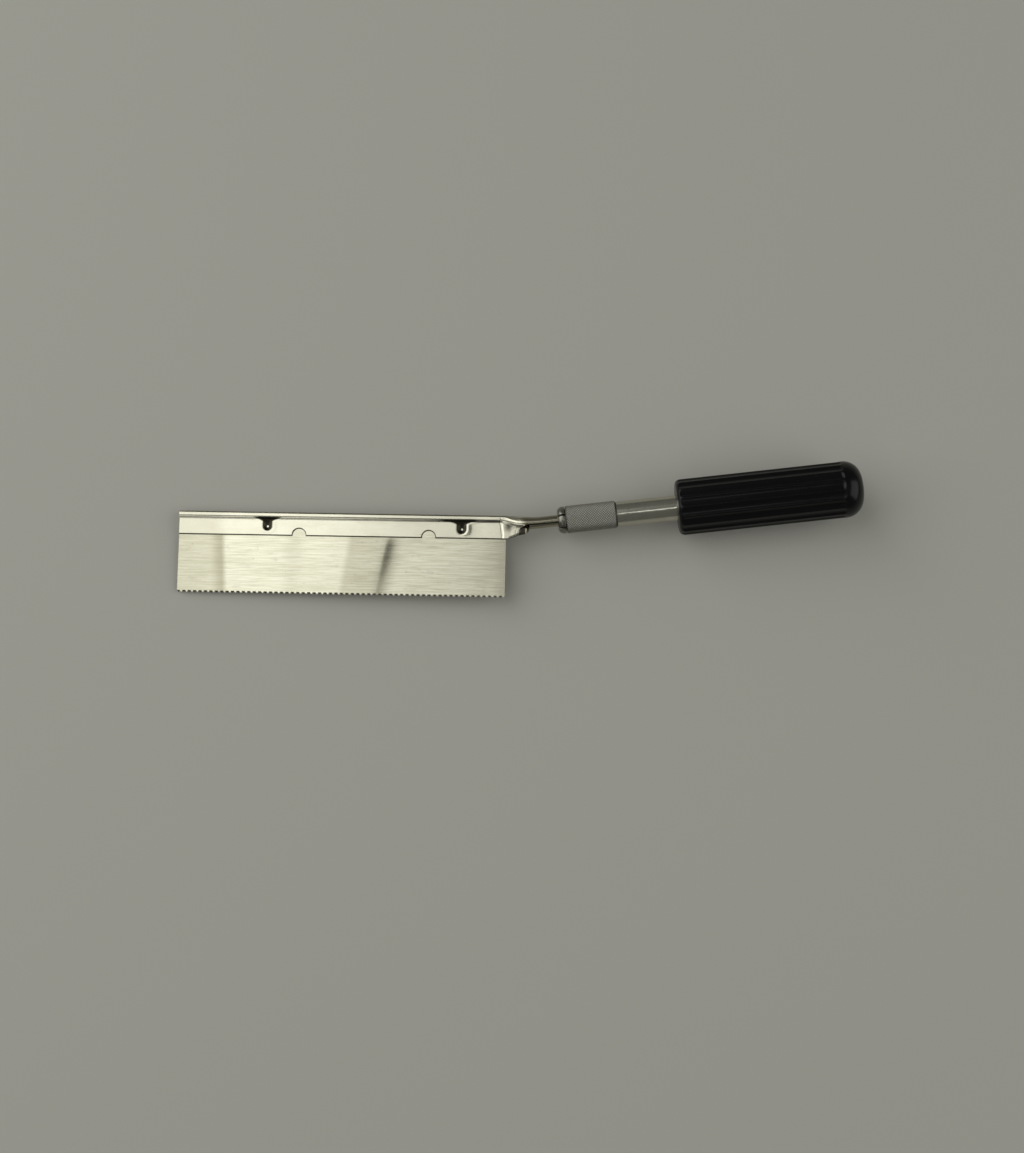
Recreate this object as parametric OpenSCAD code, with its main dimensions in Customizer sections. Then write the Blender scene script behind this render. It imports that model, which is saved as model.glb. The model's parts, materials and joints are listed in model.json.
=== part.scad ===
// A razor saw in a collet handle: a thin toothed blade in a folded steel spine, whose rolled stem is
// gripped by the jaws of a collet on an aluminium shank with a fluted black grip.
// The saw lies on its side on the plane z = 0, with the toe to -X, the handle to +X, the spine to +Y
// and the teeth to -Y.

/* [Saw blade] */
// Length of the blade from heel to toe
blade_len = 127; // [110:1:180]
// Depth of the whole saw from the top of the spine to the tooth tips
saw_depth = 31.75; // [22:0.25:45]
// Thickness of the blade's steel
blade_t = 0.35; // [0.25:0.05:0.6]
// Distance from one tooth to the next
tooth_pitch = 1.058; // [0.8:0.001:2]
// Depth of the gullets between the teeth
tooth_depth = 0.85; // [0.4:0.05:1.2]
// How far each tooth is bent to its own side
tooth_set = 0.08; // [0.02:0.01:0.14]
// Height of the strip above the gullets that is bent with the teeth
set_strip = 0.3; // [0.1:0.05:0.6]
// Place of a tooth's tip along its pitch, from the heel side
tooth_rake = 0.35; // [0.1:0.05:0.9]

/* [Spine] */
// Height of the folded spine
spine_h = 8.9; // [7:0.1:12]
// Thickness of the spine's sheet
sheet_t = 0.75; // [0.5:0.05:0.9]
// Thickness of the spine over its fold
fold_t = 2.9; // [2.6:0.1:4]
// Height of the shoulder where the fold narrows to the flange that is pressed flat on the blade
shoulder_h = 1.2; // [0.6:0.1:2]
// Gap between the inside of the fold and the blade's upper edge
blade_seat = 0.2; // [0.1:0.05:0.5]
// How far the spine runs on past the blade's heel
heel_over = 1.8; // [0.5:0.1:3]
// Radius of the half-round notches in the spine's lower edge
notch_r = 2.85; // [1.5:0.05:4]
// Distance from the heel to the first notch
notch_from_heel = 29.8; // [24:0.1:34]
// Distance between the two notches
notch_spacing = 50.3; // [40:0.1:58]

/* [Dimples that hold the blade in the spine] */
// Distance from the heel to the first dimple
dimple_from_heel = 16.6; // [8:0.1:22]
// Distance between the two dimples
dimple_spacing = 75.8; // [65:0.1:80]
// Depth of the dimples' middle below the top of the spine
dimple_drop = 5.6; // [4.5:0.1:6]
// Radius of a dimple at its rim
dimple_r = 1.9; // [1.4:0.1:2.4]
// Radius of the boss that a dimple pushes through the blade
boss_r = 0.9; // [0.6:0.05:1.2]
// Gap round the boss in the blade's hole
boss_gap = 0.1; // [0.05:0.01:0.2]
// Gap between the two bosses that meet in the blade
boss_apart = 0.04; // [0.02:0.01:0.1]
// Sheet that is left under the floor of a dimple
dimple_floor = 0.25; // [0.15:0.05:0.4]

/* [Stem] */
// Outer diameter of the rolled stem
stem_d = 4.3; // [3:0.1:5.2]
// Angle between the stem and the back of the saw
stem_angle = 7.2; // [0:0.1:15]
// Depth of the stem's axis below the top of the spine, at the heel
axis_drop = 4; // [2.5:0.1:5]
// Distance along the axis from the heel to where the stem is round
neck_len = 9; // [7:0.1:13]
// How far the lip at the end of the flange hangs below the stem
lip_drop = 1.6; // [0.4:0.1:2]
// Width of the open seam along the stem
seam_w = 0.3; // [0.15:0.05:0.5]
// Turn of the seam from straight up towards the teeth
seam_turn = 22; // [0:1:60]
// Diameter of the open mouth where the roll begins
mouth_d = 2.3; // [1.5:0.1:2.8]
// Distance along the axis from the heel to the middle of the mouth
mouth_from_heel = 6.9; // [5:0.1:8]
// Offset of the mouth from the stem's axis towards the teeth
mouth_drop = 1.9; // [1:0.1:2.4]
// Length of the stem that is inside the collet
stem_grip = 18; // [10:0.5:22]

/* [Chuck] */
// Distance along the axis from the heel to the tips of the jaws
jaw_tip = 20; // [16:0.1:30]
// How far the jaws stand out of the sleeve
jaw_out = 3.2; // [2:0.1:4]
// Diameter of the jaws' head in front of the sleeve
head_d = 10.3; // [9.4:0.1:10.6]
// Bevel round the tips of the jaws
jaw_bevel = 1.6; // [0.6:0.1:1.8]
// Gap between the jaws' head and the front of the sleeve
head_gap = 0.3; // [0.2:0.05:0.6]
// Diameter of the jaws' cone at the mouth of the sleeve
cone_d = 8.6; // [8:0.1:8.8]
// Length of the cone
cone_len = 8; // [5:0.5:10]
// Diameter of the collet behind its cone
collet_d = 7; // [6.8:0.1:7.4]
// Outer diameter of the collet's thread
thread_d = 6.2; // [5.8:0.05:6.3]
// Length of the thread inside the shank
thread_len = 12; // [8:0.5:16]
// Number of saw cuts across the collet, each of which parts two pairs of jaws
jaw_cuts = 3; // [2:1:4]
// Width of a saw cut between the jaws
cut_w = 0.6; // [0.3:0.05:0.9]
// Length of the saw cuts from the tips of the jaws
cut_len = 17; // [12:0.5:19]
// Turn of the saw cuts about the axis
cut_turn = 14; // [0:1:60]
// Depth of the collet's hole behind the end of the stem
hole_spare = 1.5; // [0.5:0.1:3]
// Diameter of the knurled sleeve
sleeve_d = 10.7; // [10.3:0.1:12]
// Length of the knurled sleeve
sleeve_len = 19.2; // [18:0.1:26]
// Chamfer at the ends of the sleeve
sleeve_chamfer = 0.4; // [0.1:0.05:0.6]
// Radial clearance of a sliding or turning fit
fit_gap = 0.05; // [0.02:0.01:0.08]
// Gap between the sleeve and the shank's end face
seat_gap = 0.05; // [0.02:0.01:0.1]

/* [Handle] */
// Diameter of the shank
shank_d = 9.8; // [9:0.1:10.4]
// Length of the shank between the sleeve and the grip
shank_len = 23.5; // [16:0.1:40]
// Chamfer at the front of the shank
shank_chamfer = 0.35; // [0.1:0.05:0.6]
// Length of the shank inside the grip
shank_in_grip = 38; // [25:0.5:48]
// Depth of the ring grooves that lock the shank in the grip
lock_depth = 0.6; // [0.3:0.05:0.9]
// Width of the ring grooves
lock_w = 3; // [2:0.1:4]
// Spare depth of the shank's tapped hole behind the thread
tap_spare = 1.5; // [0.5:0.1:3]
// Diameter of the grip over its ridges
grip_d = 21.7; // [18:0.1:26]
// Length of the grip
grip_len = 70.8; // [60:0.1:100]
// Radius of the grip's front edge
grip_edge_r = 2.2; // [1:0.1:3]
// Radius of the rounding at the rear end of the grip
dome_r = 6.8; // [4:0.1:8]
// Number of flutes round the grip
flutes = 18; // [12:2:18]
// Depth of a flute
flute_depth = 0.55; // [0.3:0.05:0.7]
// Radius of the cutter that makes a flute
flute_r = 3.6; // [2.5:0.1:3.8]
// Plain length left at the rear end of the grip, behind the flutes
flute_stop = 7.2; // [7:0.1:15]

/* [Hidden] */
$fn = 64;
// Thickness of the thin slices that a hull joins
slice = 0.02;
// How far a cut runs past the face that it goes through
past = 1;

// Stations along the stem's axis, from the heel
sleeve_front = jaw_tip + jaw_out;
shank_front = sleeve_front + sleeve_len;
grip_front = shank_front + shank_len;
grip_rear = grip_front + grip_len;
stem_end = jaw_tip + stem_grip;

teeth = floor(blade_len / tooth_pitch);
gullet_y = -saw_depth + tooth_depth;
blade_top = -(sheet_t + blade_seat);
flange_half = blade_t / 2 + sheet_t;
fold_r = fold_t / 2;
notches = [notch_from_heel, notch_from_heel + notch_spacing];
dimples = [dimple_from_heel, dimple_from_heel + dimple_spacing];
lip_d = 2 * flange_half;
bore_r = stem_d / 2 + fit_gap;

// The saw rests on the fold and a tooth at the toe, and on two ridges at the front of the grip
rest_along = grip_front + grip_edge_r;
rest_x = rest_along * cos(stem_angle);
rest_y = rest_along * sin(stem_angle) - axis_drop;
ridge_drop = grip_d / 2 * cos(180 / flutes);
lay_roll = atan2(fold_r - blade_t / 2 - tooth_set, saw_depth - fold_r);
toe_low = -fold_r * sin(lay_roll) - fold_r;
grip_low = rest_y * sin(lay_roll) - ridge_drop;
lay_pitch = atan2(grip_low - toe_low, blade_len + rest_x);
lay_lift = -blade_len * sin(lay_pitch) - toe_low * cos(lay_pitch);

// Middle of the saw's outline on the floor
rear_x = grip_rear * cos(stem_angle) * cos(lay_pitch);
toe_x = -blade_len * cos(lay_pitch);
rear_y = (grip_rear - dome_r) * sin(stem_angle) - axis_drop + grip_d / 2 * cos(stem_angle);
middle_x = (rear_x + toe_x) / 2;
middle_y = (rear_y - saw_depth) / 2 * cos(lay_roll);

// Lays the saw on the floor; the children have the heel's upper corner at the origin
module lay() {
    translate([-middle_x, -middle_y, lay_lift])
        rotate([lay_roll, lay_pitch, 0])
            children();
}

// Places children on the stem's axis, their own Z along it from the heel
module on_axis(along) {
    translate([0, -axis_drop, 0])
        rotate([0, 0, stem_angle])
            translate([along, 0, 0])
                rotate([0, 90, 0])
                    children();
}

// Extrudes a section drawn as height and thickness along the saw, from one station to another
module along_saw(from, to) {
    translate([from, 0, 0])
        rotate([90, 0, 90])
            linear_extrude(to - from)
                children();
}

// Teeth of one side's set, every second one, on the strip that is bent with them
function comb(first) = concat(
    [[0, gullet_y + set_strip]],
    first == 1 ? [[0, gullet_y]] : [],
    [for (i = [first : 2 : teeth - 1], p = [
        [-i * tooth_pitch, gullet_y],
        [-(i + tooth_rake) * tooth_pitch, -saw_depth],
        [-(i + 1) * tooth_pitch, gullet_y]
    ]) p],
    (teeth - 1 - first) % 2 == 0 ? [] : [[-teeth * tooth_pitch, gullet_y]],
    [[-teeth * tooth_pitch, gullet_y + set_strip]]
);

module saw_blade() {
    color("lightgray") lay() difference() {
        union() {
            translate([-blade_len, gullet_y, -blade_t / 2])
                cube([blade_len, blade_top - gullet_y, blade_t]);
            for (first = [0, 1])
                translate([0, 0, (first == 0 ? 1 : -1) * tooth_set - blade_t / 2])
                    linear_extrude(blade_t)
                        polygon(comb(first));
        }
        for (d = dimples)
            translate([-d, -dimple_drop, -past])
                cylinder(r = boss_r + boss_gap, h = 2 * past);
    }
}

// Section of the folded sheet: a round fold, a shoulder and the flat flanges
module fold_section(inset, below) {
    translate([-fold_r, 0])
        circle(fold_r - inset);
    polygon([
        [-fold_r, fold_r - inset], [-fold_r - shoulder_h, flange_half - inset],
        [-spine_h - below, flange_half - inset], [-spine_h - below, inset - flange_half],
        [-fold_r - shoulder_h, inset - flange_half], [-fold_r, inset - fold_r]
    ]);
}

// The neck narrows from the folded section to the round stem and the lip below it
module neck(inset) {
    hull() {
        along_saw(heel_over - slice, heel_over)
            fold_section(inset, 0);
        on_axis(neck_len - slice)
            cylinder(d = stem_d - 2 * inset, h = slice, $fn = 32);
        on_axis(neck_len - slice)
            translate([0, lip_d / 2 - stem_d / 2 - lip_drop, 0])
                cylinder(d = lip_d - 2 * inset, h = slice, $fn = 32);
    }
}

module spine() {
    color("gainsboro") lay() {
        difference() {
            union() {
                along_saw(-blade_len, heel_over)
                    fold_section(0, 0);
                neck(0);
                on_axis(heel_over)
                    cylinder(d = stem_d, h = stem_end - heel_over);
            }
            along_saw(-blade_len - past, heel_over)
                fold_section(sheet_t, past);
            neck(sheet_t);
            on_axis(heel_over)
                cylinder(d = stem_d - 2 * sheet_t, h = stem_end - heel_over + past);
            for (n = notches)
                translate([-n, -spine_h, -fold_t])
                    cylinder(r = notch_r, h = 2 * fold_t);
            for (d = dimples, side = [0, 1])
                mirror([0, 0, side])
                    translate([-d, -dimple_drop, boss_apart / 2 + dimple_floor])
                        cylinder(r1 = boss_r / 2, r2 = dimple_r,
                            h = flange_half - boss_apart / 2 - dimple_floor);
            on_axis(mouth_from_heel)
                translate([-stem_d, -mouth_drop, 0])
                    rotate([0, 90, 0])
                        cylinder(d = mouth_d, h = stem_d);
            on_axis(mouth_from_heel)
                rotate(seam_turn)
                    translate([-stem_d, -seam_w / 2, 0])
                        cube([stem_d, seam_w, stem_end - mouth_from_heel + past]);
        }
        for (d = dimples, side = [0, 1])
            mirror([0, 0, side])
                translate([-d, -dimple_drop, boss_apart / 2])
                    cylinder(r = boss_r, h = dimple_floor);
    }
}

// Turned outline of the collet: radius, then distance from the tips of the jaws
module collet_outline() {
    hole_end = stem_grip + hole_spare;
    thread_start = jaw_out + sleeve_len;
    polygon([
        [bore_r, 0], [head_d / 2 - jaw_bevel, 0], [head_d / 2, jaw_bevel],
        [head_d / 2, jaw_out - head_gap], [cone_d / 2, jaw_out - head_gap],
        [cone_d / 2, jaw_out], [collet_d / 2, jaw_out + cone_len],
        [collet_d / 2, thread_start - seat_gap], [thread_d / 2, thread_start - seat_gap],
        [thread_d / 2, thread_start + thread_len], [0, thread_start + thread_len],
        [0, hole_end], [bore_r, hole_end]
    ]);
}

module collet() {
    color("silver") lay() on_axis(jaw_tip) difference() {
        rotate_extrude()
            collet_outline();
        for (i = [0 : jaw_cuts - 1])
            rotate(cut_turn + i * 180 / jaw_cuts)
                translate([-cut_w / 2, -head_d, -past])
                    cube([cut_w, 2 * head_d, cut_len + past]);
    }
}

// Turned outline of the sleeve, with its conical mouth round the jaws
module sleeve_outline() {
    r = sleeve_d / 2;
    back = sleeve_len - seat_gap;
    polygon([
        [cone_d / 2 + fit_gap, 0], [r - sleeve_chamfer, 0], [r, sleeve_chamfer],
        [r, back - sleeve_chamfer], [r - sleeve_chamfer, back],
        [collet_d / 2 + fit_gap, back], [collet_d / 2 + fit_gap, cone_len]
    ]);
}

module chuck_sleeve() {
    color("silver") lay() on_axis(sleeve_front)
        rotate_extrude()
            sleeve_outline();
}

// Ring grooves of the shank inside the grip: distances from the grip's front face
lock_first = shank_in_grip / 3;
locks = [lock_first, 2 * lock_first];

module shank() {
    r = shank_d / 2;
    color("silver") lay() on_axis(shank_front) difference() {
        union() {
            cylinder(r1 = r - shank_chamfer, r2 = r, h = shank_chamfer);
            translate([0, 0, shank_chamfer])
                cylinder(r = r, h = shank_len + shank_in_grip - shank_chamfer);
        }
        translate([0, 0, -past])
            cylinder(r = thread_d / 2 + fit_gap, h = past + thread_len + tap_spare);
        for (g = locks)
            translate([0, 0, shank_len + g])
                difference() {
                    cylinder(r = r + past, h = lock_w);
                    cylinder(r = r - lock_depth, h = lock_w);
                }
    }
}

// Outline of the grip: a rounded front edge and a rounded rear end
module grip_outline() {
    r = grip_d / 2;
    difference() {
        square([r, grip_len]);
        translate([r - grip_edge_r, 0])
            difference() {
                translate([0, -past])
                    square([grip_edge_r + past, grip_edge_r + past]);
                translate([0, grip_edge_r])
                    circle(grip_edge_r);
            }
        translate([r - dome_r, grip_len - dome_r])
            difference() {
                square([dome_r + past, dome_r + past]);
                circle(dome_r);
            }
    }
}

module grip() {
    hole_r = shank_d / 2 + fit_gap;
    color("dimgray") lay() on_axis(grip_front) {
        difference() {
            rotate_extrude()
                grip_outline();
            for (i = [0 : flutes - 1])
                rotate(-lay_roll + i * 360 / flutes)
                    translate([grip_d / 2 - flute_depth + flute_r, 0, -past])
                        cylinder(r = flute_r, h = grip_len - flute_stop + past);
            translate([0, 0, -past])
                cylinder(r = hole_r, h = shank_in_grip + fit_gap + past);
        }
        for (g = locks)
            translate([0, 0, g + fit_gap])
                difference() {
                    cylinder(r = hole_r + fit_gap, h = lock_w - 2 * fit_gap);
                    translate([0, 0, -past])
                        cylinder(r = hole_r - lock_depth, h = lock_w + 2 * past);
                }
    }
}

saw_blade();
spine();
collet();
chuck_sleeve();
shank();
grip();
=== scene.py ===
import json
from math import asin, atan2, ceil, cos, exp, hypot, pi, radians, sin, sqrt, tan, tanh

import bpy
from mathutils import Matrix, Vector


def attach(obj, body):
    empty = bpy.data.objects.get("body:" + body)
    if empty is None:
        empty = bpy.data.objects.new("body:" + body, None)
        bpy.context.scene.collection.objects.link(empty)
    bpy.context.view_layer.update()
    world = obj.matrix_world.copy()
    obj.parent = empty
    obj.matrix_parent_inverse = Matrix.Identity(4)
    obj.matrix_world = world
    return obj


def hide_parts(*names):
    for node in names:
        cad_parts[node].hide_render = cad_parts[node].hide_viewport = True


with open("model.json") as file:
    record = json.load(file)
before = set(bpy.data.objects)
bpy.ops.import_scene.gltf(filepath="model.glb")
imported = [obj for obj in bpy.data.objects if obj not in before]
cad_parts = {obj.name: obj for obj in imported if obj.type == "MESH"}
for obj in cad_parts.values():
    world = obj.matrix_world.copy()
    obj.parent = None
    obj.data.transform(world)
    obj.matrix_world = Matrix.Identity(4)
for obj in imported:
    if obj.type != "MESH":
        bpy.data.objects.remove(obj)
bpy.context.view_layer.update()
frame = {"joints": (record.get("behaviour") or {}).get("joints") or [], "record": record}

# Saw blade: a plate of thin spring steel, brushed along its length, with fine teeth along its lower
# edge that are bent to either side in turn. Its upper edge is held inside the folded spine.
blade_len = 127.0
saw_depth = 31.72
blade_t = 0.35
blade_top = -0.95
teeth = 120
tooth_depth = 0.85
tooth_set = 0.08
tooth_lean = 0.15
tooth_root = 0.02
spine_h = 8.9
notch_r = 2.85
notches = [29.8, 80.1]
pitch = blade_len / teeth
gullet = tooth_depth - saw_depth

# The saw lies on its side. Blade and spine are modelled in millimetres on axes of their own, from the
# heel's upper corner with X away from the toe, and these follow from the handle's axis in the frame.
MM = 0.001
stem_angle = radians(7.2)
axis_drop = 4.0
sleeve_from_heel = 23.2
chuck_turn = next(j for j in frame["joints"] if j["name"] == "chuck_turn")
shank_clip = next(m for m in frame["record"]["mounts"] if m["name"] == "shank_clip")
handle_way = -Vector(chuck_turn["axis"]).normalized()
blade_normal = Vector(shank_clip["axis"]).normalized()
handle_side = blade_normal.cross(handle_way)
saw_way = handle_way * cos(stem_angle) - handle_side * sin(stem_angle)
saw_side = blade_normal.cross(saw_way)
heel_on_axis = Vector(chuck_turn["pos_m"]) - handle_way * sleeve_from_heel * MM


def axes(origin, x, y, z):
    """The place of an origin and three directions, with a millimetre as its unit."""
    turn = Matrix((x, y, z)).transposed().to_4x4()
    return Matrix.Translation(origin) @ turn @ Matrix.Scale(MM, 4)


saw_place = axes(heel_on_axis + saw_side * axis_drop * MM, saw_way, saw_side, blade_normal)


def work_on(piece):
    """Selects one piece alone and makes it active."""
    bpy.ops.object.select_all(action="DESELECT")
    piece.select_set(True)
    bpy.context.view_layer.objects.active = piece


def put(piece, place):
    """Moves a modelled piece to its place; its object stays at the origin."""
    work_on(piece)
    piece.matrix_world = place
    bpy.ops.object.transform_apply(location=True, rotation=True, scale=True)


def apply_modifier(piece, kind, **settings):
    modifier = piece.modifiers.new(kind.title(), kind)
    for name, value in settings.items():
        setattr(modifier, name, value)
    work_on(piece)
    bpy.ops.object.modifier_apply(modifier=modifier.name)


def smooth(piece, angle):
    work_on(piece)
    bpy.ops.object.shade_smooth_by_angle(angle=radians(angle))


def ease(x, low, high):
    """0 below low, 1 above high, and a smooth rise between them."""
    share = min(max((x - low) / (high - low), 0.0), 1.0)
    return share * share * (3 - 2 * share)


class Wire:
    """An output of one of a finish's shader nodes; arithmetic on it adds Math nodes."""

    def __init__(self, tree, socket):
        self.tree = tree
        self.socket = socket

    def node(self, kind, settings, inputs, output=0):
        made = self.tree.nodes.new(kind)
        for name, value in settings.items():
            setattr(made, name, value)
        self.feed(made, inputs)
        return Wire(self.tree, made.outputs[output])

    def feed(self, made, inputs):
        for name, value in inputs.items():
            if isinstance(value, Wire):
                self.tree.links.new(value.socket, made.inputs[name])
            else:
                made.inputs[name].default_value = value

    def maths(self, operation, first, second=0.0):
        return self.node("ShaderNodeMath", {"operation": operation}, {0: first, 1: second})

    def __add__(self, other):
        return self.maths("ADD", self, other)

    def __radd__(self, other):
        return self.maths("ADD", other, self)

    def __sub__(self, other):
        return self.maths("SUBTRACT", self, other)

    def __rsub__(self, other):
        return self.maths("SUBTRACT", other, self)

    def __mul__(self, other):
        return self.maths("MULTIPLY", self, other)

    def __rmul__(self, other):
        return self.maths("MULTIPLY", other, self)

    def __truediv__(self, other):
        return self.maths("DIVIDE", self, other)

    def __pow__(self, other):
        return self.maths("POWER", self, other)

    def fraction(self):
        return self.maths("FRACT", self)

    def rise(self, low, high):
        """0 below low, 1 above high, and a smooth rise between them."""
        ends = {"Value": self, "From Min": low, "From Max": high}
        return self.node("ShaderNodeMapRange", {"interpolation_type": "SMOOTHSTEP"}, ends)

    def mix(self, first, second):
        """The first colour where this value is 0 and the second where it is 1."""
        return self.node("ShaderNodeMix", {"data_type": "RGBA"}, {0: self, 6: first, 7: second}, 2)

    def noise(self, scale, detail=2.0, roughness=0.5):
        """Noise on this point, stretched by a scale along each axis."""
        stretched = self.node("ShaderNodeVectorMath", {"operation": "MULTIPLY"}, {0: self, 1: scale})
        inputs = {"Vector": stretched, "Scale": 1.0, "Detail": detail, "Roughness": roughness}
        return stretched.node("ShaderNodeTexNoise", {}, inputs)

    def part(self, axis):
        return self.node("ShaderNodeSeparateXYZ", {}, {0: self}, axis)

    def bump(self, depth):
        """A surface raised by this value times a depth in millimetres."""
        inputs = {"Strength": 1.0, "Distance": depth * MM, "Height": self}
        return self.node("ShaderNodeBump", {}, inputs)


def peak(value, width):
    """1 where a value is 0, falling smoothly to 0 on either side of it."""
    return 1 - ((value * value) ** 0.5).rise(0.0, width)


def finish(name, place):
    """A new material, its shader, and the point being shaded in a piece's own millimetres."""
    material = bpy.data.materials.new(name)
    material.use_nodes = True
    tree = material.node_tree
    shader = tree.nodes["Principled BSDF"]
    frame_point = Wire(tree, tree.nodes.new("ShaderNodeTexCoord").outputs["Object"])
    origin, turn, size = place.decompose()
    inputs = {"Vector": frame_point, "Location": origin, "Rotation": turn.to_euler(), "Scale": size}
    point = frame_point.node("ShaderNodeMapping", {"vector_type": "TEXTURE"}, inputs)
    return material, shader, point


bpy.ops.object.select_all(action="DESELECT")
bpy.ops.mesh.primitive_grid_add(x_subdivisions=2 * teeth, y_subdivisions=16, size=1)
blade = bpy.context.object
blade.name = "brushed_blade"
bpy.ops.object.mode_set(mode="EDIT")
bpy.ops.transform.resize(value=(blade_len, blade_top - gullet, 1))
bpy.ops.transform.translate(value=(-blade_len / 2, (blade_top + gullet) / 2, 0))
bpy.ops.mesh.select_all(action="DESELECT")
bpy.ops.object.mode_set(mode="OBJECT")
for edge in blade.data.edges:
    edge.select = all(abs(blade.data.vertices[v].co.y - gullet) < 0.01 for v in edge.vertices)
bpy.ops.object.mode_set(mode="EDIT")
bpy.ops.mesh.extrude_region_move(TRANSFORM_OT_translate={"value": (0, -tooth_root, 0)})
bpy.ops.object.mode_set(mode="OBJECT")

# Thin steel is never quite flat: two soft bends cross the blade, a little aslant. Each has its
# distance from the heel at mid depth, its reach towards the toe and the heel, and its steepest slope.
# They die out under the spine and are weaker towards the teeth.
bends = [(47.2, 1.3, 3.6, 0.09), (6.0, 5.0, 5.0, 0.008)]
bend_slant = 0.22
mid_depth = 20.0
for vertex in blade.data.vertices:
    x, y, z = vertex.co
    tooth = -x / pitch
    if y < gullet - tooth_root / 2:
        side = 1 if int(tooth) % 2 == 0 else -1
        tip = abs(tooth % 1 - 0.5) < 0.1
        if tip:
            vertex.co = (x + tooth_lean * pitch, -saw_depth, side * tooth_set)
        else:
            vertex.co = (x, gullet - tooth_root, 0)
    free = (1 - ease(y, -spine_h - 2.0, -spine_h + 1.0)) * (0.55 + 0.45 * ease(y, -31.0, -16.0))
    for place_x, toe_reach, heel_reach, slope in bends:
        off = x + place_x - bend_slant * (y + mid_depth)
        reach = toe_reach if off < 0 else heel_reach
        level = (toe_reach + heel_reach) * (x + blade_len) / blade_len - toe_reach
        vertex.co.z -= free * slope * (reach * tanh(off / reach) - level)
for edge in blade.data.edges:
    heights = [blade.data.vertices[v].co.y for v in edge.vertices]
    edge.use_edge_sharp = all(abs(y - gullet) < 1.5 * tooth_root for y in heights)
apply_modifier(blade, "SOLIDIFY", thickness=blade_t, offset=0)
put(blade, saw_place)
smooth(blade, 20)

blade_steel, shader, point = finish("blade_steel", saw_place)
fine_brush = point.noise((0.13, 3.2, 1.0), 2.0, 0.6)
broad_brush = point.noise((0.05, 1.4, 1.0), 3.0, 0.6)
cloud = point.noise((0.06, 0.09, 0.1), 3.0, 0.55)
smudge = point.noise((0.16, 0.3, 0.1), 3.0, 0.6)
speck = point.noise((1.3, 1.9, 1.0), 1.0).rise(0.77, 0.80)
along_blade = point.part(0)
across_blade = point.part(1)
brush = fine_brush * 0.5 + broad_brush * 0.5
shade = brush.rise(0.34, 0.66) * 0.85 + cloud * 0.15
steel = shade.mix((0.49, 0.475, 0.35, 1), (0.72, 0.71, 0.56, 1))
steel = (smudge.rise(0.55, 0.75) * 0.3).mix(steel, (0.40, 0.385, 0.30, 1))

# Painted shade stands in for dimmer reflections of the bent steel: dark bands cross the upper side at
# the toe and at mid length, a streak runs along the bend, and fainter bands lie further towards the toe
# and at the heel.
toe_bend = along_blade + 109.2 + 0.055 * (across_blade + 9.5)
mid_bend = along_blade + 62.0 - 0.16 * (across_blade + mid_depth)
streak = along_blade + bends[0][0] - bend_slant * (across_blade + mid_depth)
painted_dark_bands = (1 - toe_bend.rise(-1.6, 1.0)) * (0.3 + 0.3 * toe_bend.rise(-6.5, -1.5))
painted_dark_bands = 0.33 * mid_bend.rise(-1.6, 1.6) * (1 - mid_bend.rise(11.0, 19.0)) + painted_dark_bands
painted_dark_bands = painted_dark_bands * point.part(2).rise(0.08, 0.15)
painted_dark_bands = 0.3 * streak.rise(-0.8, 0.6) * (1 - streak.rise(0.6, 7.0)) + painted_dark_bands
painted_dark_bands = 0.15 * peak(along_blade + 82.0, 6.0) + 0.3 * along_blade.rise(-6.0, 0.0) + painted_dark_bands
steel = (painted_dark_bands * (0.55 + 0.9 * cloud)).mix(steel, (0.22, 0.205, 0.13, 1))

# Painted shade darkens the teeth that are bent down, and dirt with painted shade lines the edge of the
# spine and its notches.
turn_of_teeth = (along_blade * (-0.5 / pitch)).fraction()
bent_down = turn_of_teeth.rise(0.46, 0.54) * (1 - turn_of_teeth.rise(0.96, 1.0))
in_teeth = 1 - across_blade.rise(gullet - 0.2, gullet + 0.15)
steel = (bent_down * in_teeth * 0.8).mix(steel, (0.05, 0.047, 0.035, 1))
edge_dirt_and_shade = across_blade.rise(-spine_h - 0.46, -spine_h - 0.14) * 0.85
for n in notches:
    off_x = along_blade + n
    off_y = across_blade + spine_h
    off = (off_x * off_x + off_y * off_y) ** 0.5
    edge_dirt_and_shade = edge_dirt_and_shade * off.rise(notch_r - 0.46, notch_r - 0.16)
steel = edge_dirt_and_shade.mix(steel, (0.045, 0.042, 0.03, 1))
steel = speck.mix(steel, (0.16, 0.15, 0.12, 1))
brush.feed(shader, {
    "Base Color": steel,
    "Metallic": 1.0,
    "Roughness": 0.11 + 0.12 * brush + 0.2 * speck + 0.25 * edge_dirt_and_shade,
    "Normal": brush.bump(0.006),
})
blade.data.materials.append(blade_steel)
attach(blade, "saw")
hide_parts("saw_blade")

# Spine: a blank of bright plated sheet folded over the blade's back and pressed flat on it, with two
# half-round notches in its lower edge and two punched dimples that hold the blade. Behind the heel
# the fold widens into a round stem; the front flange is cut off there and the back one rolled up.
sheet_t = 0.75
fold_r = 1.45
crown_h = 0.85
crown_mid = 1.28
shoulder_h = 1.9
neck_shoulder = 3.3
stem_r = 2.15
stem_end = 38.0
front_cut = 5.2
seam_angle = radians(112)
seam_w = 0.3
dimples = [17.0, 92.4]
toe_rims = [0.0, 0.04]
heel_rims = [0.08, 0.04]
# How far the painted shade of each dimple reaches towards the toe.
toe_pit_shades = [0.4, 0.0]
dimple_mid = 5.6
dimple_r = 1.95
dimple_flare = 4.4
dimple_depth = 0.58
rim_off = 1.25
groove_from_heel = 2.0
groove_slant = 0.8
groove_depth = 0.17
groove_w = 0.28
rim_chamfer = 0.1
neck_rise = 0.4
neck_bend = 5.0
neck_easing = 0.18
flange_mid = (blade_t + sheet_t) / 2
arc_rows = 14
seam_rows = 6
flange_rows = 30
side_rows = arc_rows + seam_rows + flange_rows


def stem_axis(x):
    """Height of the stem's axis."""
    return x * tan(stem_angle) - axis_drop


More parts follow.
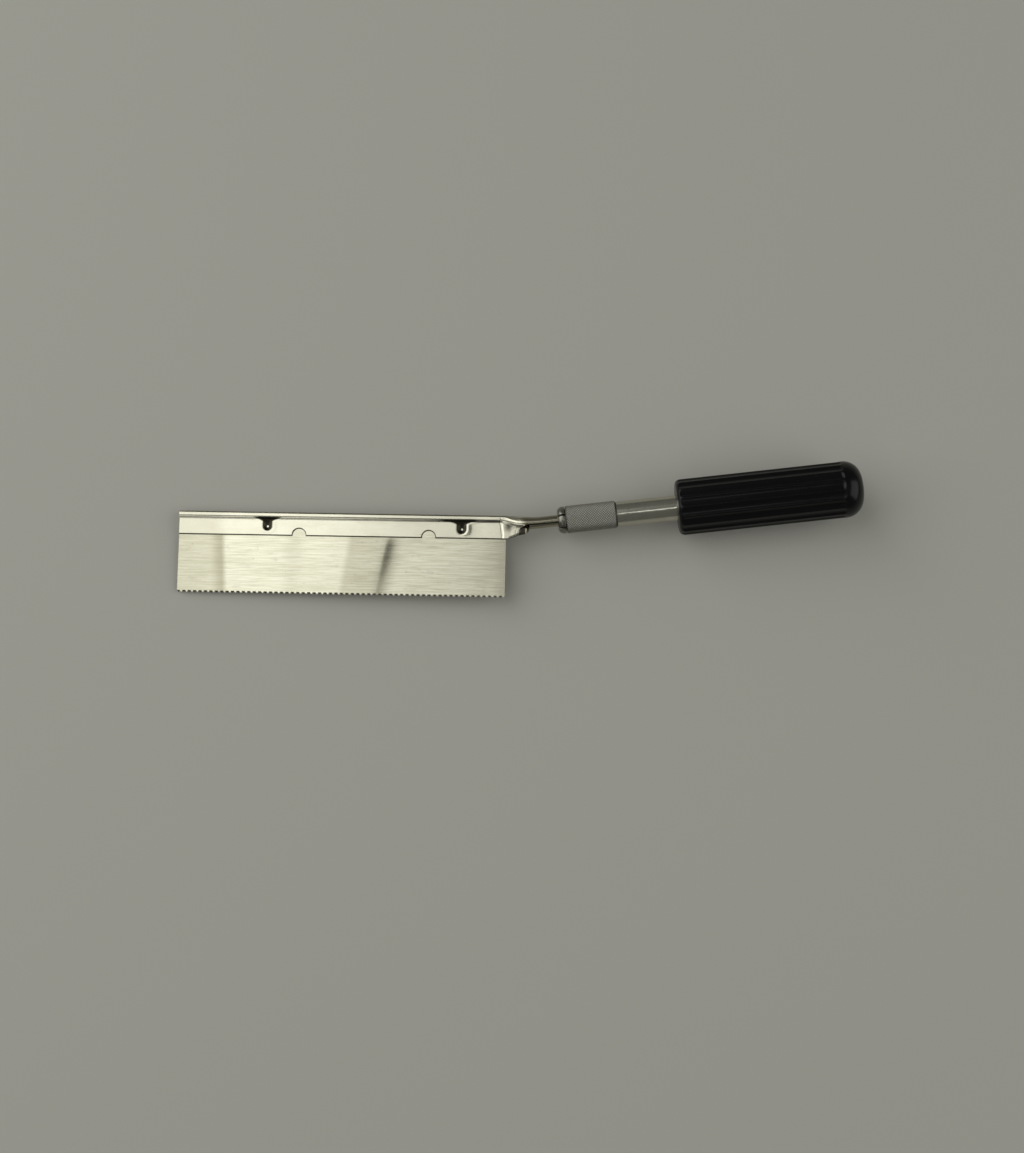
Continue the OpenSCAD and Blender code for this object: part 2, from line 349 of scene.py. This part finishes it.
def top_line(x):
    """Height of the top, which runs on from the fold into the upper side of the stem."""
    fold = -0.045 * max(x, 0)
    stem = stem_axis(x) + stem_r / cos(stem_angle)
    soft = 0.4 * ease(x, -2.0, 2.0) * (1 - ease(x, 9.0, 17.0))
    return (fold + stem + hypot(fold - stem, soft)) / 2


def crown_line(x):
    """Height of the line where the fold, and then the stem, is thickest."""
    stem = stem_axis(x) + 0.45 * (1 - ease(x, 4.0, 16.0))
    return ease(x, -1.2, 6.0) * (stem + crown_mid) - crown_mid


def half_width(x):
    """Depth of the fold, and then of the stem, from its middle to its side."""
    return fold_r + ease(x, -1.0, 8.0) * (stem_r - fold_r) - sheet_t / 2


def lower_edge(x):
    """Height of the flange's lower edge, which rises along the neck."""
    return -spine_h + neck_rise * max(x - 1.0, 0) - neck_easing * max(x - neck_bend, 0)


def rolled(x, angle):
    """Height and depth of the sheet rolled into the stem, at an angle from its top."""
    crown = crown_line(x)
    up = top_line(x) - sheet_t / 2 - crown
    under = crown - stem_axis(x) + stem_r / cos(stem_angle) - sheet_t / 2
    return crown + (up if cos(angle) > 0 else under) * cos(angle), half_width(x) * sin(angle)


def crown_flat(x):
    """Height of the flat part of the fold's side, which fades out along the neck."""
    return crown_h * (1 - ease(x, -1.2, 5.0))


def side_length(x):
    """Length of a side from the end of the fold's rounding to its lower edge."""
    return crown_line(x) + crown_flat(x) / 2 - lower_edge(x)


def hanging(x, run):
    """Height and depth of a side, at a run below the end of the fold's rounding."""
    flat = crown_flat(x)
    fall = shoulder_h + (neck_shoulder - shoulder_h) * ease(x, -1.8, 0.2)
    share = min(max((run - flat) / fall, 0), 1)
    step = 0.85 * (1 - ease(share, 0, 0.6)) + 0.15 * (1 - share) ** 2
    wide = half_width(x)
    return crown_line(x) + flat / 2 - run, flange_mid + (wide - flange_mid) * step


def rounding(x, share):
    """Height and depth of the fold's top, at a share of the way from its middle to its side."""
    start = crown_line(x) + crown_flat(x) / 2
    rise = top_line(x) - sheet_t / 2 - start
    wide = half_width(x)
    level = max(wide - rise, 0)
    run = share * (level + pi / 2 * (wide - level))
    if run < level:
        return start + rise, run
    angle = (run - level) / (wide - level)
    return start + rise * cos(angle), level + (wide - level) * sin(angle)


def sheet_point(x, row):
    """A point of the folded sheet; rows count from its top to its front edge, or back if negative."""
    count = abs(row)
    front = row > 0
    if count <= arc_rows:
        y, z = rounding(x, count / arc_rows)
    else:
        if front:
            curve = 1 - ease(x, front_cut, front_cut + 3.0)
            seam_run = (stem_r - sheet_t / 2) * (seam_angle - pi / 2) - seam_w / 2 + 1.2 * curve
            share = min((count - arc_rows) / seam_rows, 1)
            rest = max(count - arc_rows - seam_rows, 0) / flange_rows
            run = share * seam_run + rest * (side_length(x) - seam_run)
            angle = pi / 2 + run / (stem_r - sheet_t / 2)
            curl = ease(x, 4.8, 8.0)
        else:
            share = (count - arc_rows) / (seam_rows + flange_rows)
            run = share * side_length(x)
            last_angle = 2 * pi - seam_angle - seam_w / 2 / stem_r
            angle = pi / 2 + share * (last_angle - pi / 2)
            curl = ease(x, 7.2, 9.6)
        flat_y, flat_z = hanging(x, run)
        round_y, round_z = rolled(x, angle)
        y = flat_y + curl * (round_y - flat_y)
        z = flat_z + curl * (round_z - flat_z)
    lean = ease(x, 0.2, 9.0) * tan(stem_angle) * (y - stem_axis(x))
    return x - lean, y, z if front else -z


# Stations along the blank, close together where it is punched, creased or rolled. Each stretch has
# its end and the longest step in it.
stations = [0.01 - blade_len]
stretches = [
    (-dimples[1] - 6, 1.6), (-dimples[1] + 6, 0.2), (-dimples[0] - 6, 1.6), (-dimples[0] + 6, 0.2),
    (-3.2, 1.2), (0.0, 0.1), (front_cut, 0.2), (10.6, 0.2), (stem_end * cos(stem_angle), 1.2),
]
for end, step in stretches:
    start = stations[-1]
    count = ceil((end - start) / step)
    stations += [start + (end - start) * (i + 1) / count for i in range(count)]
columns = len(stations) - 1

bpy.ops.object.select_all(action="DESELECT")
bpy.ops.mesh.primitive_grid_add(x_subdivisions=columns, y_subdivisions=2 * side_rows, size=1)
spine = bpy.context.object
spine.name = "folded_spine"
cut_column = sum(x < front_cut - 0.01 for x in stations)
bpy.ops.object.mode_set(mode="EDIT")
bpy.ops.mesh.select_all(action="DESELECT")
bpy.ops.object.mode_set(mode="OBJECT")
for face in spine.data.polygons:
    column = (face.center.x + 0.5) * columns
    row = face.center.y * 2 * side_rows
    face.select = column > cut_column and row > arc_rows + seam_rows
bpy.ops.object.mode_set(mode="EDIT")
bpy.ops.mesh.delete(type="FACE")
bpy.ops.object.mode_set(mode="OBJECT")
for vertex in spine.data.vertices:
    x = stations[round((vertex.co.x + 0.5) * columns)]
    vertex.co = sheet_point(x, round(vertex.co.y * 2 * side_rows))
bpy.ops.object.mode_set(mode="EDIT")
bpy.ops.mesh.select_all(action="SELECT")
bpy.ops.mesh.normals_make_consistent(inside=False)
bpy.ops.object.mode_set(mode="OBJECT")
apply_modifier(spine, "SOLIDIFY", thickness=sheet_t, offset=0, use_even_offset=True)

# The punch draws the sheet in from the fold down to each dimple and leaves a low rim beside it, and a
# slanted groove is pressed across the flange where the neck begins.
for vertex in spine.data.vertices:
    x, y, z = vertex.co
    if abs(z) < flange_mid or x > 3 or y > -0.9:
        continue
    low = -y
    sunk = 0.0
    for d, toe_rim, heel_rim in zip(dimples, toe_rims, heel_rims):
        across = abs(x + d)
        flare = dimple_r + dimple_flare * (1 - ease(low, 2.3, 4.2)) ** 2
        off = across / flare if low < dimple_mid else hypot(across, low - dimple_mid) / dimple_r
        deep = ease(low, 1.8, 5.0)
        heelward = ease(x + d, -1.0, 1.5)
        sunk += dimple_depth * deep * (1 - ease(off, 0.2, 1.0))
        rim = toe_rim + (heel_rim - toe_rim) * heelward
        rim_w = 0.28 if off < rim_off else 0.5
        sunk -= rim * deep * (1 - ease(low, 7.6, 8.6)) * exp(-((off - rim_off) / rim_w) ** 2)
    groove = x + groove_from_heel - groove_slant * ease(low, 1.0, 8.5)
    sunk += groove_depth * ease(low, 0.9, 2.4) * exp(-(groove / groove_w) ** 2)
    vertex.co.z -= sunk if z > 0 else -sunk

for n in notches:
    bpy.ops.object.select_all(action="DESELECT")
    bpy.ops.mesh.primitive_cylinder_add(
        vertices=64, radius=notch_r, depth=8, location=(-n, -spine_h, 0))
    cutter = bpy.context.object
    apply_modifier(spine, "BOOLEAN", operation="DIFFERENCE", solver="EXACT", object=cutter)
    bpy.data.objects.remove(cutter)


def on_rim(x, y, z):
    """Whether a point lies on the outer rim of a flange: its end, its lower edge or a notch."""
    if abs(z) < flange_mid + 0.3 or y > -3.0 or x > 4.0:
        return False
    in_notch = any(abs(hypot(x + n, y + spine_h) - notch_r) < 0.02 for n in notches)
    return in_notch or y < lower_edge(x) + 0.02 or x < 0.02 - blade_len


weights = spine.data.attributes.new("bevel_weight_edge", "FLOAT", "EDGE")
for edge in spine.data.edges:
    chamfered = all(on_rim(*spine.data.vertices[v].co) for v in edge.vertices)
    weights.data[edge.index].value = 1.0 if chamfered else 0.0
apply_modifier(
    spine, "BEVEL", width=rim_chamfer, segments=1, limit_method="WEIGHT", use_clamp_overlap=False)
put(spine, saw_place)
smooth(spine, 28)

spine_steel, shader, point = finish("spine_steel", saw_place)
drawn = point.noise((0.03, 3.5, 3.5), 3.0, 0.6)
cloud = point.noise((0.12, 0.3, 0.3), 3.0, 0.55)
dent = point.noise((1.1, 1.1, 1.1), 2.0, 0.5)
speck = point.noise((2.1, 2.6, 2.0), 1.0).rise(0.75, 0.79)
along_spine = point.part(0)
depth = point.part(2)
down = 0 - point.part(1)

# Painted shade darkens the dimples, leaving a bright spot in each, and a painted dark reflection darkens
# the shoulder at the foot of the fold, most towards the heel.
pits = 0.0
for d, toe_pit_shade in zip(dimples, toe_pit_shades):
    off_x = along_spine + d
    off_y = down - dimple_mid
    width = dimple_r + dimple_flare * (1 - down.rise(2.3, 4.2)) ** 2.0
    off = (off_x * off_x) ** 0.5 / width
    round_off = (off_x * off_x + off_y * off_y) ** 0.5
    below_mid = down.rise(dimple_mid - 0.05, dimple_mid + 0.05)
    off = off * (1 - below_mid) + round_off / dimple_r * below_mid
    pit_edge = 1.05 + toe_pit_shade * (1 - off_x.rise(-1.2, 0.4))
    pit = (1 - off.rise(0.4 + 0.4 * down.rise(2.3, 4.2), pit_edge)) * down.rise(1.6, 2.3)
    pits = pit * round_off.rise(0.28, 0.5) + pits
shoulder = down.rise(1.7, 2.0) * (1 - down.rise(2.5, 3.0))
heel_dark = along_spine.rise(-34.0, -22.0) * (1 - along_spine.rise(-2.4, -1.8))
painted_shade = pits + shoulder * (0.1 + 0.65 * heel_dark)
painted_shade = (painted_shade * (0.7 + 0.6 * cloud)).rise(0.0, 1.0)

# Painted shade draws a dark line along the lower edge and the neck's edge, a painted dark reflection
# lies on the pressed neck's facet, and painted shade fills its mouth.
edge_line = down.rise(spine_h - 0.2, spine_h - 0.08)
raised = down.maths("MAXIMUM", along_spine - 1.0, 0.0) * neck_rise
raised = raised - down.maths("MAXIMUM", along_spine - neck_bend, 0.0) * neck_easing
neck_edge = (down + raised).rise(spine_h - 0.95, spine_h - 0.55) * along_spine.rise(0.6, 1.6)
edge_line = edge_line + neck_edge * (1 - along_spine.rise(7.0, 8.0))
in_neck = along_spine.rise(1.6, 3.4)
facet = peak(along_spine - 1.0, 2.8) * peak(down - 4.2, 3.0)
mouth = along_spine.rise(4.9, 5.3) * (1 - along_spine.rise(7.0, 8.0))
mouth = mouth * depth.rise(-0.75, -0.55) * (1 - depth.rise(0.2, 0.5))
# A painted dark reflection lies along the top of the fold.
top_dark = 1 - down.rise(0.45, 0.75)
painted_stem_shade = along_spine.rise(4.0, 8.0)

# The plate is bright and darker at the toe; a painted reflection makes it brightest at the heel, and
# painted shade darkens it along the stem.
plate = drawn.mix((0.62, 0.605, 0.47, 1), (0.74, 0.725, 0.59, 1))
plate = (0.2 - 0.2 * along_spine.rise(-114.0, -107.0)).mix(plate, (0.22, 0.205, 0.13, 1))
plate = (0.6 * along_spine.rise(-14.0, -8.0)).mix(plate, (0.9, 0.88, 0.7, 1))
plate = (cloud.rise(0.4, 0.8) * 0.3).mix(plate, (0.5, 0.48, 0.36, 1))
plate = (top_dark * 0.5).mix(plate, (0.12, 0.112, 0.08, 1))
plate = facet.mix(plate, (0.14, 0.132, 0.1, 1))
plate = (painted_stem_shade * 0.8).mix(plate, (0.27, 0.25, 0.175, 1))
plate = painted_shade.mix(plate, (0.03, 0.028, 0.02, 1))
plate = (mouth * 0.9).mix(plate, (0.03, 0.028, 0.02, 1))
plate = speck.mix(plate, (0.2, 0.19, 0.16, 1))
plate = (edge_line * 0.85).mix(plate, (0.05, 0.046, 0.033, 1))
drawn.feed(shader, {
    "Base Color": plate,
    "Metallic": 1.0,
    "Roughness": 0.12 + 0.1 * drawn + 0.2 * painted_shade,
    "Normal": (drawn * 0.7 + cloud * 3.0 + dent * in_neck * (1 - painted_stem_shade) * 12.0).bump(0.004),
})
spine.data.materials.append(spine_steel)
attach(spine, "saw")
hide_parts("spine")

# Collet: turned from aluminium bar and split by three saw cuts into six jaws with rounded tips,
# which spring open a little. The rest of it, a cone and a threaded tail, is inside the sleeve.
jaw_tip = 20.0
jaw_out = 3.2
bore_r = 2.2
head_r = 5.15
head_round = 1.9
head_len = 2.9
cone_r = 4.3
collet_r = 3.5
cone_back = 11.2
jaw_len = 17.0
thread_r = 3.1
thread_start = 22.35
stem_hole = 19.5
collet_len = 34.4
jaws = 6
cut_w = 0.6
cut_turn = radians(44)

# The handle's pieces are modelled on its own axes, with Z along it from the heel to the rear end.
handle_place = axes(heel_on_axis, -blade_normal, handle_side, handle_way)


def turned(name, outline, steps, angle=2 * pi):
    """A piece turned from an outline of radius and distance along the axis, right round or in part."""
    bpy.ops.object.select_all(action="DESELECT")
    fill = "NGON" if angle < 2 * pi else "NOTHING"
    bpy.ops.mesh.primitive_circle_add(vertices=len(outline), fill_type=fill)
    piece = bpy.context.object
    piece.name = name
    for vertex, (radius, distance) in zip(piece.data.vertices, outline):
        vertex.co = (radius, 0, distance)
    bpy.ops.object.mode_set(mode="EDIT")
    bpy.ops.mesh.select_all(action="SELECT")
    bpy.ops.mesh.spin(steps=steps, angle=angle, center=(0, 0, 0), axis=(0, 0, 1))
    bpy.ops.mesh.select_all(action="SELECT")
    bpy.ops.mesh.remove_doubles(threshold=0.0005)
    bpy.ops.mesh.normals_make_consistent(inside=False)
    bpy.ops.object.mode_set(mode="OBJECT")
    return piece


share_of_turn = 2 * pi / jaws
outline = [(bore_r, 0.3), (bore_r + 0.3, 0)]
for i in range(7):
    angle = pi / 2 * i / 6
    outline.append((head_r - head_round + head_round * sin(angle), head_round - head_round * cos(angle)))
outline += [
    (head_r, head_len), (cone_r, head_len), (cone_r, jaw_out), (collet_r, cone_back),
    (collet_r, jaw_len), (bore_r, jaw_len),
]
jaw = turned("jaw", outline, 10, share_of_turn)
turn_back = -1 if sum(v.co.y for v in jaw.data.vertices) < 0 else 1
for vertex in jaw.data.vertices:
    x, y, z = vertex.co
    radius = hypot(x, y)
    share = turn_back * atan2(y, x) / share_of_turn
    half_cut = asin(cut_w / 2 / radius)
    angle = half_cut + share * (share_of_turn - 2 * half_cut) + cut_turn
    vertex.co = (radius * cos(angle), radius * sin(angle), z)
bpy.ops.object.mode_set(mode="EDIT")
bpy.ops.mesh.select_all(action="SELECT")
bpy.ops.mesh.normals_make_consistent(inside=False)
bpy.ops.object.mode_set(mode="OBJECT")
apply_modifier(jaw, "BEVEL", width=0.34, segments=4, limit_method="ANGLE", angle_limit=radians(40))
collet = turned("split_collet", [
    (bore_r, jaw_len - 0.2), (collet_r, jaw_len - 0.2), (collet_r, thread_start),
    (thread_r, thread_start), (thread_r, collet_len), (0, collet_len), (0, stem_hole),
    (bore_r, stem_hole),
], 96)
for i in range(jaws):
    cut_jaw = jaw.copy()
    cut_jaw.data = jaw.data.copy()
    bpy.context.scene.collection.objects.link(cut_jaw)
    cut_jaw.data.transform(Matrix.Rotation(i * share_of_turn, 4, "Z"))
    apply_modifier(collet, "BOOLEAN", operation="UNION", solver="EXACT", object=cut_jaw)
    bpy.data.objects.remove(cut_jaw)
bpy.data.objects.remove(jaw)
put(collet, handle_place @ Matrix.Translation((0, 0, jaw_tip)))
smooth(collet, 35)

jaw_aluminium, shader, point = finish("jaw_aluminium", handle_place)
lathe = point.noise((0.4, 0.4, 14.0), 2.0, 0.6)
cloud = point.noise((0.5, 0.5, 0.5), 3.0, 0.55)
metal = (0.6 * lathe + 0.4 * cloud).mix((0.16, 0.158, 0.132, 1), (0.29, 0.285, 0.245, 1))
lathe.feed(shader, {
    "Base Color": metal,
    "Metallic": 1.0,
    "Roughness": 0.2 + 0.16 * cloud,
    "Normal": lathe.bump(0.006),
})
collet.data.materials.append(jaw_aluminium)
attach(collet, "collet")
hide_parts("collet")

# Chuck sleeve: an aluminium tube with a conical mouth that draws the jaws together as it is turned.
# Its outside is rolled with a fine diamond knurl between two small chamfers.
sleeve_len = 19.15
sleeve_r = 5.35
sleeve_chamfer = 0.4
mouth_r = 4.35
mouth_len = 8
sleeve_bore_r = 3.55
knurl_depth = 0.2
knurl_round = 64
knurl_along = 38
knurl_step = (sleeve_len - 2 * sleeve_chamfer) / knurl_along
outline = [(mouth_r, 0), (sleeve_r - sleeve_chamfer, 0)]
outline += [(sleeve_r, sleeve_chamfer + i * knurl_step) for i in range(knurl_along + 1)]
outline += [(sleeve_r - sleeve_chamfer, sleeve_len), (sleeve_bore_r, sleeve_len)]
outline.append((sleeve_bore_r, mouth_len))
sleeve = turned("knurled_sleeve", outline, knurl_round)
for vertex in sleeve.data.vertices:
    x, y, z = vertex.co
    column = round(atan2(y, x) / (2 * pi) * knurl_round)
    row = round((z - sleeve_chamfer) / knurl_step)
    if hypot(x, y) > sleeve_r - 0.01 and (column + row) % 2:
        vertex.co.xy *= (sleeve_r - knurl_depth) / sleeve_r
bpy.ops.object.mode_set(mode="EDIT")
bpy.ops.mesh.select_all(action="SELECT")
bpy.ops.mesh.quads_convert_to_tris(quad_method="SHORTEST_DIAGONAL")
bpy.ops.object.mode_set(mode="OBJECT")
put(sleeve, handle_place @ Matrix.Translation((0, 0, sleeve_from_heel)))

knurled_aluminium, shader, point = finish("knurled_aluminium", handle_place)
off_x = point.part(0)
off_y = point.part(1)
radius = (off_x * off_x + off_y * off_y) ** 0.5
crest = radius.rise(sleeve_r - knurl_depth * 0.95, sleeve_r - 0.02)
cloud = point.noise((0.7, 0.7, 0.7), 3.0, 0.6)
# Painted shade darkens the knurl's valleys against its crests.
metal = crest.mix((0.1, 0.1, 0.086, 1), (0.62, 0.615, 0.535, 1))
metal = (cloud.rise(0.35, 0.75) * 0.35).mix(metal, (0.36, 0.355, 0.32, 1))
crest.feed(shader, {
    "Base Color": metal,
    "Metallic": 1.0,
    "Roughness": 0.5 - 0.1 * crest + 0.1 * cloud,
    "Normal": point.noise((9.0, 9.0, 9.0), 2.0).bump(0.01),
})
sleeve.data.materials.append(knurled_aluminium)
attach(sleeve, "chuck_sleeve")
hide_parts("chuck_sleeve")

# Shank: drawn aluminium rod with a satin surface. Its front is tapped for the collet's tail, and its
# rear half is moulded into the grip, held there by two ring grooves.
shank_from_heel = 42.4
shank_len = 23.5
shank_in_grip = 38.0
shank_r = 4.9
shank_chamfer = 0.35
tap_r = 3.15
tap_len = 13.5
lock_r = 4.3
lock_w = 3.0
outline = [(tap_r, 0), (shank_r - shank_chamfer, 0), (shank_r, shank_chamfer)]
for lock in (1, 2):
    start = shank_len + lock * shank_in_grip / 3
    outline += [(shank_r, start), (lock_r, start), (lock_r, start + lock_w), (shank_r, start + lock_w)]
shank_end = shank_len + shank_in_grip
outline += [(shank_r, shank_end), (0, shank_end), (0, tap_len), (tap_r, tap_len)]
shank = turned("drawn_shank", outline, 128)
put(shank, handle_place @ Matrix.Translation((0, 0, shank_from_heel)))
smooth(shank, 30)

shank_aluminium, shader, point = finish("shank_aluminium", handle_place)
rings = point.noise((0.25, 0.25, 7.0), 3.0, 0.65)
drawn = point.noise((3.0, 3.0, 0.15), 2.0, 0.6)
cloud = point.noise((0.35, 0.35, 0.35), 3.0, 0.55)
metal = (0.5 * rings + 0.5 * cloud).mix((0.46, 0.455, 0.38, 1), (0.62, 0.61, 0.52, 1))
rings.feed(shader, {
    "Base Color": metal,
    "Metallic": 1.0,
    "Roughness": 0.16 + 0.06 * rings + 0.04 * drawn,
    "Normal": (rings * 0.7 + drawn * 0.3).bump(0.002),
})
shank.data.materials.append(shank_aluminium)
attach(shank, "handle")
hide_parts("shank")

# Grip: a glossy black plastic moulding on the shank, with eighteen flutes that run out of its rounded
# front edge and stop short of the domed rear end.
grip_from_heel = 65.9
grip_len = 70.79
grip_r = 10.845
edge_r = 2.2
front_flat_r = 6.5
dome_r = 6.8
rear_flat_r = 2.0
flutes = 18
flute_depth = 0.55
flute_r = 3.6
flute_stop = 63.6
flute_runout = 1.3
ridge_soft = 0.12
hole_r = 4.95
hole_len = 38.05
flute_turn = -atan2(saw_side.z, saw_side.y)
flute_axis = grip_r - flute_depth + flute_r
outline = [(hole_r, 0), (front_flat_r, 0)]
for i in range(9):
    angle = pi / 2 * i / 8
    outline.append((grip_r - edge_r + edge_r * sin(angle), edge_r - edge_r * cos(angle)))
outline += [(grip_r, edge_r + (flute_stop - 2 - edge_r) * i / 24) for i in range(1, 25)]
outline += [(grip_r, flute_stop - 2 + 0.3 * i) for i in range(1, 8)]
for i in range(13):
    angle = pi / 2 * i / 12
    outline.append((grip_r - dome_r + dome_r * cos(angle), grip_len - dome_r + dome_r * sin(angle)))
outline += [(rear_flat_r, grip_len), (0, grip_len), (0, hole_len), (hole_r, hole_len)]
grip = turned("fluted_grip", outline, flutes * 12)


def flute_floor(angle, z):
    """Radius of the fluted surface at an angle from the middle of a flute."""
    across_flute = flute_axis * sin(angle)
    if abs(across_flute) > flute_r:
        return grip_r + 1
    bottom = flute_axis * cos(angle) - sqrt(flute_r ** 2 - across_flute ** 2)
    return bottom + 3 * flute_depth * ease(z, flute_stop - flute_runout, flute_stop + flute_runout)


for vertex in grip.data.vertices:
    x, y, z = vertex.co
    radius = hypot(x, y)
    if radius > hole_r + 2 and z < flute_stop + 2 * flute_runout:
        angle = (atan2(y, x) - flute_turn + pi / flutes) % (2 * pi / flutes) - pi / flutes
        fluted = flute_floor(angle, z)
        gap = max(ridge_soft - abs(radius - fluted), 0) / ridge_soft
        vertex.co.xy *= (min(radius, fluted) - gap * gap * ridge_soft / 4) / radius
put(grip, handle_place @ Matrix.Translation((0, 0, grip_from_heel)))
smooth(grip, 50)

grip_plastic, shader, point = finish("grip_plastic", handle_place)
haze = point.noise((0.25, 0.25, 0.12), 4.0, 0.6)
rub = point.noise((1.6, 1.6, 0.5), 3.0, 0.65)
dust = point.noise((3.1, 3.1, 2.4), 1.0).rise(0.745, 0.775)
black = haze.mix((0.0018, 0.0016, 0.0018, 1), (0.0036, 0.0034, 0.0036, 1))
black = (dust * 0.4).mix(black, (0.06, 0.058, 0.052, 1))
haze.feed(shader, {
    "Base Color": black,
    "Roughness": 0.2 + 0.14 * haze * rub + 0.3 * dust,
    "Specular IOR Level": 0.22,
    "Normal": rub.bump(0.006),
})
grip.data.materials.append(grip_plastic)
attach(grip, "handle")
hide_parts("grip")

# Stage: a plain pale floor. It lies a little below the saw, which rests on two points and is drawn
# out along the inclined handle, so that the toe of the blade stays above it.
floor_drop = 0.00125
floor_size = 4.4
bpy.ops.object.select_all(action="DESELECT")
bpy.ops.mesh.primitive_plane_add(size=floor_size, location=(0, 0, -floor_drop))
floor = bpy.context.object
floor.name = "floor"
paint = bpy.data.materials.new("floor_paint")
paint.use_nodes = True
paint_shader = paint.node_tree.nodes["Principled BSDF"]
paint_shader.inputs["Base Color"].default_value = (0.44, 0.435, 0.385, 1)
paint_shader.inputs["Roughness"].default_value = 0.8
floor.data.materials.append(paint)

# Light: a dim even room, a large soft lamp on either side, two panels over the toe that lie in the
# blade's reflection, one in front that lies in the fold's, and a narrow lamp over the handle.
world = bpy.data.worlds.new("room")
bpy.context.scene.world = world
world.use_nodes = True
world.node_tree.nodes["Background"].inputs["Color"].default_value = (0.13, 0.13, 0.122, 1)


def lamp(name, place, aim, width, depth, radiance):
    """A soft rectangular lamp of a given brightness over its face."""
    light = bpy.data.lights.new(name, "AREA")
    light.shape = "RECTANGLE"
    light.size = width
    light.size_y = depth
    light.energy = radiance * pi * width * depth
    lit = bpy.data.objects.new(name, light)
    lit.location = place
    lit.rotation_euler = (Vector(aim) - Vector(place)).to_track_quat("-Z", "Y").to_euler()
    bpy.context.scene.collection.objects.link(lit)


lamp("key", (-1.35, 0.5, 0.95), (0, 0, 0), 2.4, 1.7, 1.5)
lamp("fill", (1.45, -0.1, 1.1), (0, 0, 0), 1.9, 1.6, 1.25)
panel_height = 1.2
panel_near = -0.12
panel_far = 0.56
panels = [("toe_panel", -0.60, -0.285, 1.42), ("heel_panel", -0.285, -0.105, 0.86)]
for name, left, right, radiance in panels:
    middle = ((left + right) / 2, (panel_near + panel_far) / 2)
    lamp(name, (*middle, panel_height), (*middle, 0), right - left, panel_far - panel_near, radiance)
lamp("tube", (0.1, -0.15, 1.2), (0.1, -0.15, 0), 0.2, 0.06, 4.6)
lamp("front_panel", (-0.52, -1.0, 1.2), (-0.52, -1.0, 0), 0.42, 1.0, 0.8)

# Camera: almost straight above, a little towards the teeth, as in the photograph.
focal_px = 1700
long_side_px = 1153
camera_data = bpy.data.cameras.new("camera")
camera_data.sensor_width = 36
camera_data.lens = focal_px / long_side_px * camera_data.sensor_width
camera = bpy.data.objects.new("camera", camera_data)
bpy.context.scene.collection.objects.link(camera)
azimuth = radians(-1.39)
elevation = radians(82.48)
distance = 0.6541
target = Vector((-0.0016, -0.0188, 0.005))
back = Vector((-sin(azimuth) * cos(elevation), -cos(azimuth) * cos(elevation), sin(elevation)))
rightward = Vector((cos(azimuth), -sin(azimuth), 0))
camera.matrix_world = (
    Matrix.Translation(target + distance * back)
    @ Matrix((rightward, back.cross(rightward), back)).transposed().to_4x4()
)
bpy.context.scene.camera = camera
bpy.context.scene.view_settings.view_transform = "Standard"
